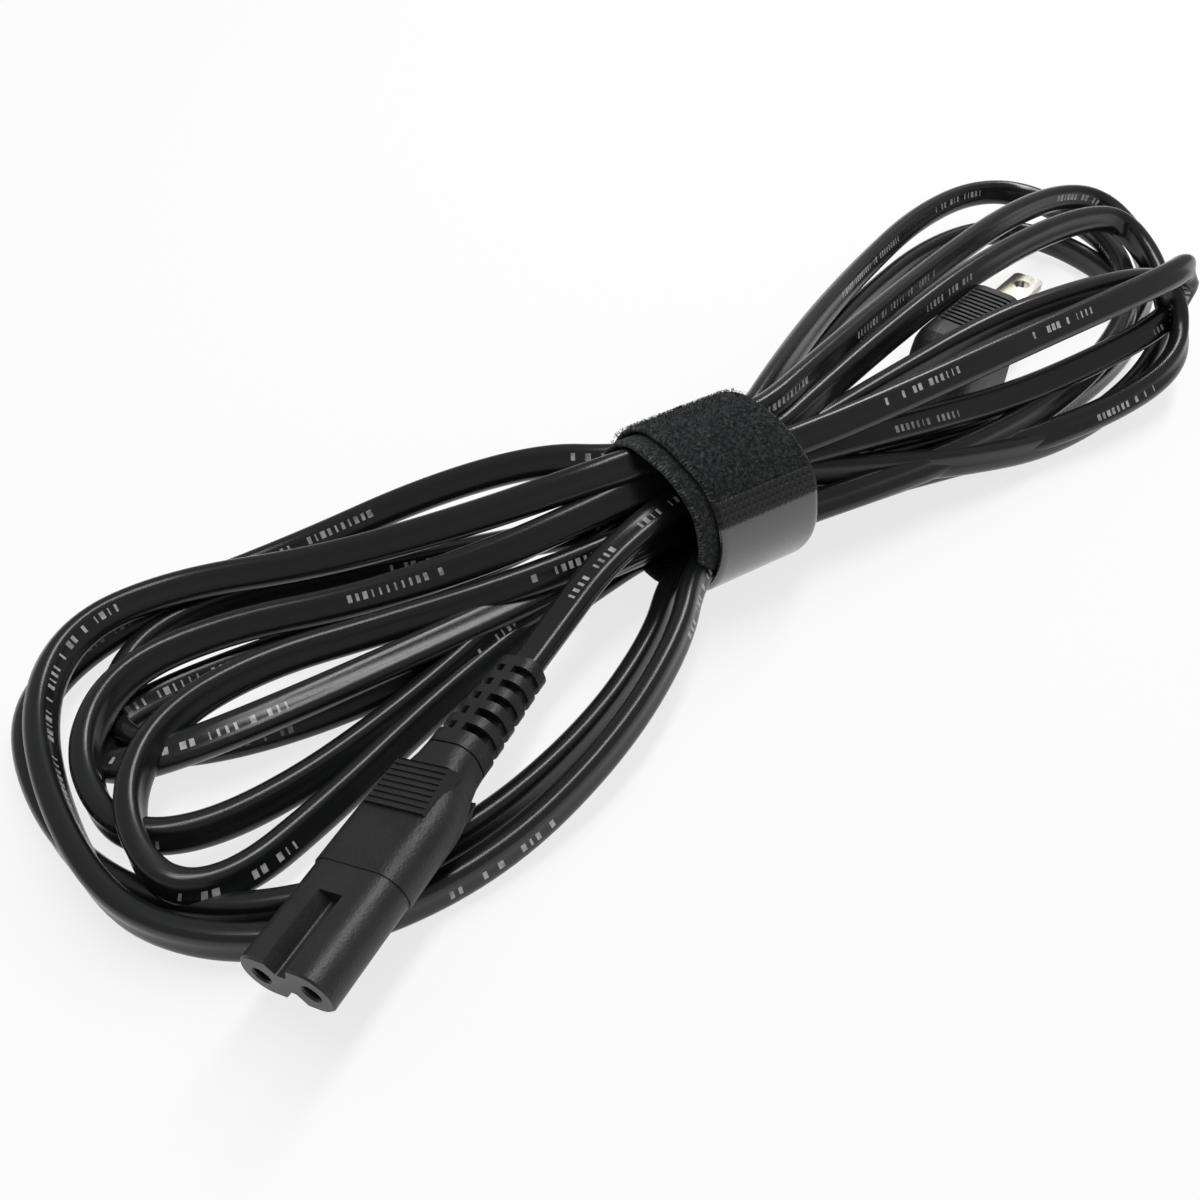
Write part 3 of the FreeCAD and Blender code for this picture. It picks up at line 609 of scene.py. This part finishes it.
def pile_material():
    """Black looped pile: matt, soft and mottled, with a sewn line along each edge."""
    n = Nodes("tie_pile")
    coords = n.coords()
    along, across = n.uv()
    loops = n.noise(coords, LOOP_SCALE, 3.0, 0.7)
    cloud = n.noise(coords, PILE_CLOUD_SCALE)
    edge = n.ramp(n.math("ABSOLUTE", across), *SEWN_EDGE)
    stitch = n.math("GREATER_THAN", n.math("FRACT", n.math("DIVIDE", along, STITCH_PITCH)), STITCH_GAP)
    sewn = n.product(edge, stitch, n.ramp(loops, 0.4, 0.65))
    pile_colour = n.mix(n.ramp(loops, 0.45, 0.75), PILE_DARK, PILE_LIGHT)
    n.set(Base_Color=n.mix(sewn, pile_colour, SEWN_GREY))
    n.set(Roughness=n.ramp(cloud, *NOISE_SPAN, 0.85, 1.0), Specular_IOR_Level=0.2)
    n.set(Sheen_Weight=0.12, Sheen_Roughness=0.5, Sheen_Tint=grey(0.5, 1.05))
    n.set(Normal=n.bump(loops, LOOP_DEPTH, 0.9))
    return n.material


WEAVE_SCALE = 2400.0
WEAVE_DEPTH = 0.00006
BACKING_BLACK = grey(0.016, 1.08)
BACKING_ROUGHNESS = (0.2, 0.3)
# Weld dots: their pitch and depth, the soft edge of one in pitches, and the fade at the end of their band
DOT_BLACK = grey(0.006, 1.08)
DOT_PITCH = 0.00115
DOT_DEPTH = 0.0004
DOT_EDGE = (0.22, 0.4)
DOT_FADE = 0.0004
DOT_BAND_ROUGHNESS = 0.3


def hook_material():
    """Smooth shiny back of the hook tape, with a matt band of small weld dots where it starts."""
    n = Nodes("tie_backing")
    along, across = n.uv()
    weave = n.noise(n.coords("UV"), WEAVE_SCALE, 1.0)
    squares = [n.math("POWER", n.cell_offset(place, DOT_PITCH), 2.0) for place in (along, across)]
    reach = n.math("SQRT", n.math("ADD", *squares))
    dot_end = math.radians(DOT_END) * TAPE_RADIUS
    band = n.ramp(along, dot_end - DOT_FADE, dot_end, 1.0, 0.0)
    dots = n.product(n.ramp(reach, *DOT_EDGE, 1.0, 0.0), band)
    rough = n.ramp(weave, *NOISE_SPAN, *BACKING_ROUGHNESS)
    n.set(Base_Color=n.mix(dots, BACKING_BLACK, DOT_BLACK))
    n.set(Roughness=n.math("ADD", rough, n.math("MULTIPLY", band, DOT_BAND_ROUGHNESS)))
    n.set(Specular_IOR_Level=n.ramp(band, 0.0, 1.0, 1.0, 0.35))
    n.set(Coat_Weight=n.ramp(band, 0.0, 1.0, 0.6, 0.0), Coat_Roughness=0.2)
    n.set(Normal=n.bump(dots, -DOT_DEPTH, 0.8, n.bump(weave, WEAVE_DEPTH, 0.4)))
    return n.material


# Stray loops: threads bent over by an angle in radians. Their rise and reach are shares of their length.
FLUFF_SEED = 11
FLUFF_COUNT = 4500
FLUFF_START = 330
FLUFF_ROOT = 0.1
FLUFF_LENGTHS = (0.35, 0.85)
FLUFF_HALF_BREADTH = 0.045
FLUFF_STEPS = 3
FLUFF_BEND = 2.4
FLUFF_RISE = 0.62
FLUFF_REACH = 0.4


def fibres(name):
    """Stray loops of the pile: short bent threads standing on the outer turn."""
    shuffle = random.Random(FLUFF_SEED)
    verts = []
    faces = []
    for _ in range(FLUFF_COUNT):
        angle = shuffle.uniform(FLUFF_START, PILE_END)
        across = TIE_HALF_WIDTH * shuffle.uniform(-1, 1)
        foot = tie_spot(angle, across, TIE_THICKNESS - FLUFF_ROOT)
        rise = (tie_spot(angle, across, TIE_THICKNESS + 1) - foot).normalized()
        heading = shuffle.uniform(0, 2 * math.pi)
        further = tie_spot(angle + 1, across, TIE_THICKNESS)
        ahead = (further - tie_spot(angle, across, TIE_THICKNESS)).normalized()
        beside = rise.cross(ahead)
        lean = ahead * math.cos(heading) + beside * math.sin(heading)
        broad = rise.cross(lean) * FLUFF_HALF_BREADTH * MM
        length = shuffle.uniform(*FLUFF_LENGTHS) * MM
        first = len(verts)
        for step in range(FLUFF_STEPS + 1):
            bend = step / FLUFF_STEPS * FLUFF_BEND
            arch = rise * math.sin(bend) * FLUFF_RISE + lean * (1 - math.cos(bend)) * FLUFF_REACH
            spot = foot + arch * length
            verts += [spot - broad, spot + broad]
        for step in range(FLUFF_STEPS):
            a = first + 2 * step
            faces.append((a, a + 1, a + 3, a + 2))
    mesh = bpy.data.meshes.new(name)
    mesh.from_pydata(verts, [], faces)
    mesh.update()
    return link(name, mesh)


pile = pile_material()
backing = hook_material()
loop_tape = tape("tie_loop", 0.0, PILE_END, True)
hook_tape = tape("tie_hook", PILE_END, TAPE_END, False)
fluff = fibres("tie_fluff")
tie_pieces = [(loop_tape, pile, "tie_pile"), (hook_tape, backing, "tie_backing"), (fluff, pile, "tie_pile")]
for piece, material, slot_name in tie_pieces:
    dress(piece, material)
    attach(piece, "root")
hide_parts("tie_loop_tape")
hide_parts("tie_hook_tape")

# White floor: mostly plain white to the camera and in reflections, and the rest of it takes the shadow
FLOOR_HALF = 3.0
FLOOR_GREY = grey(0.93)
FLOOR_WHITE_SHARE = 0.77
floor_corners = [(x * FLOOR_HALF, y * FLOOR_HALF, FLOOR) for x, y in ((-1, -1), (1, -1), (1, 1), (-1, 1))]
floor_mesh = bpy.data.meshes.new("floor")
floor_mesh.from_pydata(floor_corners, [], [(0, 1, 2, 3)])
floor = link("floor", floor_mesh)
floor_nodes = Nodes("floor_white")
rays = floor_nodes.add("ShaderNodeLightPath")
seen = floor_nodes.math("MAXIMUM", rays.outputs["Is Camera Ray"], rays.outputs["Is Glossy Ray"])
seen = floor_nodes.math("MAXIMUM", seen, rays.outputs["Is Transmission Ray"])
floor_nodes.set(Base_Color=FLOOR_GREY, Roughness=0.8, Specular_IOR_Level=0.2)
floor_white = floor_nodes.add("ShaderNodeEmission")
floor_mix = floor_nodes.add("ShaderNodeMixShader")
floor_nodes.put(floor_mix.inputs["Fac"], floor_nodes.math("MULTIPLY", seen, FLOOR_WHITE_SHARE))
floor_nodes.join(floor_nodes.shader.outputs["BSDF"], floor_mix.inputs[1])
floor_nodes.join(floor_white.outputs["Emission"], floor_mix.inputs[2])
floor_nodes.join(floor_mix.outputs["Shader"], floor_nodes.tree.nodes["Material Output"].inputs["Surface"])
dress(floor, floor_nodes.material)

# A little light from all round
WORLD_STRENGTH = 0.32
world = bpy.data.worlds.new("studio")
scene.world = world
world.use_nodes = True
background = world.node_tree.nodes["Background"]
background.inputs["Color"].default_value = (1, 1, 1, 1)
background.inputs["Strength"].default_value = WORLD_STRENGTH

# A long soft light above
KEY_AT = Vector((0.42, 0.0, 0.85))
KEY_TARGET = Vector((0.1, 0.0, 0.0))
KEY_SIZE = (0.16, 1.2)
KEY_POWER = 7.5
key_data = bpy.data.lights.new("key", "AREA")
key_data.shape = "RECTANGLE"
key_data.size, key_data.size_y = KEY_SIZE
key_data.energy = KEY_POWER
key = link("key", key_data)
key.location = KEY_AT
key.rotation_mode = "QUATERNION"
key.rotation_quaternion = (KEY_TARGET - KEY_AT).to_track_quat("-Z", "Y")

bpy.context.view_layer.update()
